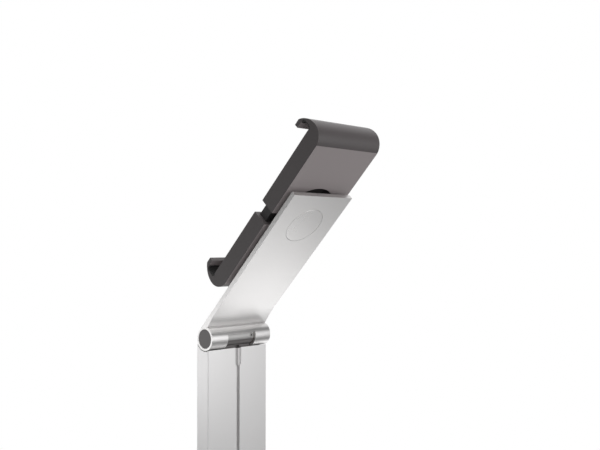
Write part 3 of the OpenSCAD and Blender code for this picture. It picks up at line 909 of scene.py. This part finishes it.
@dataclass(frozen=True)
class PhotoCamera:
    """The camera at the photograph's place.

    Attributes:
        place: its middle.
        yaw: its turn from looking along -Y towards -X, in degrees.
        pitch: its upward tilt in degrees.
        lens: focal length in millimetres.
        sensor: sensor width in millimetres.
    """

    place: Vector = Vector((0.51723, 0.58611, 1.11689))
    yaw: float = 46.08
    pitch: float = 1.25
    lens: float = 49.66
    sensor: float = 36.0

    def ahead(self) -> Vector:
        """Returns the way the camera looks, of length 1."""
        yaw = math.radians(self.yaw)
        pitch = math.radians(self.pitch)
        return Vector((-math.sin(yaw) * math.cos(pitch), -math.cos(yaw) * math.cos(pitch), math.sin(pitch)))

    def build(self) -> None:
        """Makes the camera and looks through it."""
        yaw = math.radians(self.yaw)
        right = Vector((-math.cos(yaw), math.sin(yaw), 0.0))
        ahead = self.ahead()
        turn = Matrix((right, right.cross(ahead), -ahead)).transposed()
        data = bpy.data.cameras.new("photo_camera")
        data.lens = self.lens
        data.sensor_width = self.sensor
        camera = bpy.data.objects.new("photo_camera", data)
        camera.matrix_world = Matrix.Translation(self.place) @ turn.to_4x4()
        bpy.context.scene.collection.objects.link(camera)
        bpy.context.scene.camera = camera


@dataclass(frozen=True)
class Floor:
    """The round studio floor, which isn't part of the object, and glows where the metal mirrors it.

    Attributes:
        radius: its radius in metres.
        corners: corners of its round outline.
        colour: its linear colour.
        roughness: its roughness.
        specular: its specular level.
        mottle: scale of its mottling.
        tones: brightness factors of the mottling.
        glow: strength of the glow.
        rise: power by which the glow rises from the middle to the rim.
        glow_from: depth (Y) at which the glow begins.
        glow_to: depth at which it is full.
        feet_to: depth past which it has fallen to its share at the user's feet.
        feet_share: that share.
        pool_place: middle of the pool, a round patch that glows besides.
        pool_rim: the pool's radius.
        pool_heart: radius inside which it is full.
        pool_share: its share of the glow.
    """

    radius: float = 1.25
    corners: int = 128
    colour: Triple = (0.42, 0.42, 0.42)
    roughness: float = 0.75
    specular: float = 0.2
    mottle: Grain = Grain(3.0, 3.0)
    tones: tuple[float, float] = (0.985, 1.01)
    glow: float = 4.9
    rise: float = 2.0
    glow_from: float = 0.27
    glow_to: float = -0.12
    feet_to: float = -0.45
    feet_share: float = 0.45
    pool_place: Vector = Vector((-1.08, 0.15, 0.0))
    pool_rim: float = 0.35
    pool_heart: float = 0.08
    pool_share: float = 0.12

    def build(self) -> None:
        """Makes the floor."""
        bpy.ops.mesh.primitive_circle_add(vertices=self.corners, radius=self.radius, fill_type="NGON")
        floor = bpy.context.object
        floor.name = "studio_floor"
        recipe = Recipe("studio_floor_paint")
        floor.data.materials.append(recipe.dress(
            Base_Color=recipe.vary(self.colour, self.tones, recipe.noise(self.mottle)),
            Roughness=self.roughness,
            Specular_IOR_Level=self.specular,
            Emission_Color=recipe.vary(self.colour, (0.0, 1.0), self.glowing(recipe)),
            Emission_Strength=self.glow,
        ))

    def glowing(self, recipe: Recipe) -> Signal:
        """Works out how much each spot glows.

        Args:
            recipe: the floor's material in the making.

        Returns:
            The spot's share of the full glow.
        """
        away = recipe.measure("LENGTH", recipe.place) * (1.0 / self.radius)
        depth = Signal(recipe.node("ShaderNodeSeparateXYZ", inputs={0: recipe.place}).outputs["Y"])
        begun = recipe.fade(depth, self.glow_from, self.glow_to)
        feet = recipe.fade(depth, self.glow_to, self.feet_to, low=1.0, high=self.feet_share)
        apart = recipe.measure("DISTANCE", recipe.place, self.pool_place)
        pool = recipe.fade(apart, self.pool_rim, self.pool_heart) * self.pool_share
        return away ** self.rise * begun * feet + pool


@dataclass(frozen=True)
class SoftBox:
    """A rectangular area light.

    Attributes:
        name: its name.
        place: its middle.
        width: its width in metres.
        height: its height in metres.
        power: its power in watts.
    """

    name: str
    place: Vector
    width: float
    height: float
    power: float

    def build(self, target: Vector) -> None:
        """Makes the light.

        Args:
            target: the point that it faces.
        """
        data = bpy.data.lights.new(self.name, "AREA")
        data.shape = "RECTANGLE"
        data.size = self.width
        data.size_y = self.height
        data.energy = self.power
        light = bpy.data.objects.new(self.name, data)
        light.location = self.place
        light.rotation_euler = (target - self.place).to_track_quat("-Z", "Y").to_euler()
        bpy.context.scene.collection.objects.link(light)


@dataclass(frozen=True)
class SkyPatch:
    """A round patch of the surround with a level of its own.

    Attributes:
        way: the way from the object to its middle.
        rim: cosine of the angle from its middle to its rim.
        heart: cosine of the angle inside which it is full.
        level: its grey level.
    """

    way: Vector
    rim: float
    heart: float
    level: float


@dataclass(frozen=True)
class Surround:
    """The surround, which the camera sees as plain white and which lights the piece by height.

    Attributes:
        levels: (height, grey level) pairs, from 0 straight below to 1 straight above.
        patches: patches that the metal faces mirror.
    """

    levels: tuple[tuple[float, float], ...] = (
        (0.12, 0.50), (0.20, 0.38), (0.38, 0.40), (0.44, 0.58),
        (0.56, 0.61), (0.64, 0.56), (0.80, 0.78), (0.97, 1.00),
    )
    patches: tuple[SkyPatch, ...] = (
        SkyPatch(PhotoCamera().ahead(), rim=0.70, heart=0.92, level=1.2),
        SkyPatch(Vector((-0.70, 0.46, 0.54)), rim=0.93, heart=0.985, level=0.1),
        SkyPatch(Vector((-0.65, 0.73, -0.21)), rim=0.90, heart=0.985, level=0.55),
        SkyPatch(Vector((-0.68, 0.46, -0.57)), rim=0.95, heart=0.99, level=0.15),
        SkyPatch(Vector((0.70, -0.71, 0.12)), rim=0.93, heart=0.985, level=0.08),
    )

    def build(self) -> None:
        """Makes the world."""
        world = bpy.data.worlds.new("studio_surround")
        world.use_nodes = True
        bpy.context.scene.world = world
        graph = Graph(world.node_tree)
        graph.tree.nodes.clear()
        lit = graph.node("ShaderNodeBackground", inputs={"Color": self.sky(graph)})
        white = graph.node("ShaderNodeBackground", inputs={"Color": self.grey(1.0)})
        rays = graph.node("ShaderNodeLightPath")
        chosen = graph.node("ShaderNodeMixShader", inputs={
            "Fac": Signal(rays.outputs["Is Camera Ray"]),
            1: Signal(lit.outputs["Background"]),
            2: Signal(white.outputs["Background"]),
        })
        graph.node("ShaderNodeOutputWorld", inputs={"Surface": Signal(chosen.outputs["Shader"])})

    def sky(self, graph: Graph) -> Signal:
        """Works out the colour of each way.

        Args:
            graph: the world's node tree in the making.

        Returns:
            The colour.
        """
        view = Signal(graph.node("ShaderNodeTexCoord").outputs["Generated"])
        upward = Signal(graph.node("ShaderNodeSeparateXYZ", inputs={0: view}).outputs["Z"])
        # The way's upward part runs from -1 to 1, and the ramp from 0 to 1.
        height = upward * 0.5 + 0.5
        stops = [(position, self.grey(level)) for position, level in self.levels]
        sky = Signal(graph.node("ShaderNodeValToRGB", {"stops": stops}, {0: height}).outputs["Color"])
        for patch in self.patches:
            cosine = graph.measure("DOT_PRODUCT", view, patch.way.normalized())
            sky = graph.tint(sky, self.grey(patch.level), graph.fade(cosine, patch.rim, patch.heart))
        return sky

    @staticmethod
    def grey(level: float) -> Colour:
        """Returns a neutral colour of one level."""
        return shade((level, level, level))


@dataclass(frozen=True)
class Studio:
    """The floor, the soft boxes, the surround and the camera.

    Attributes:
        target: the point near the head that the soft boxes face.
        boxes: one overhead, three low strips for the column's faces, and one at the user's side.
    """

    floor: Floor = Floor()
    target: Vector = Vector((0.0, 0.0, 1.05))
    boxes: tuple[SoftBox, ...] = (
        SoftBox("top_light", Vector((0.2, -0.2, 3.2)), width=2.0, height=1.6, power=16.0),
        SoftBox("back_strip", Vector((-0.32, 0.85, 1.06)), width=0.6, height=0.5, power=1.15),
        SoftBox("fill_strip", Vector((1.35, 1.3, 1.08)), width=1.9, height=0.7, power=3.6),
        SoftBox("side_strip", Vector((1.7, -1.65, 0.74)), width=1.2, height=0.4, power=2.7),
        SoftBox("user_light", Vector((-0.8, -2.6, 1.8)), width=1.8, height=1.6, power=10.0),
    )
    surround: Surround = Surround()
    camera: PhotoCamera = PhotoCamera()

    def build(self) -> None:
        """Makes the studio."""
        self.floor.build()
        for box in self.boxes:
            box.build(self.target)
        self.surround.build()
        self.camera.build()
        bpy.context.scene.view_settings.view_transform = "Standard"


def main() -> None:
    """Loads the frame, dresses every sub-assembly in order and sets up the studio."""
    logging.basicConfig(level=logging.INFO, format="%(name)s: %(message)s")
    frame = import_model()
    wardrobe = Wardrobe(frame)
    for part in (Base(), Column(), Hinge(), Arm(), Holder(), Jaws()):
        part.build(wardrobe)
    Studio().build()


if __name__ == "__main__":
    main()
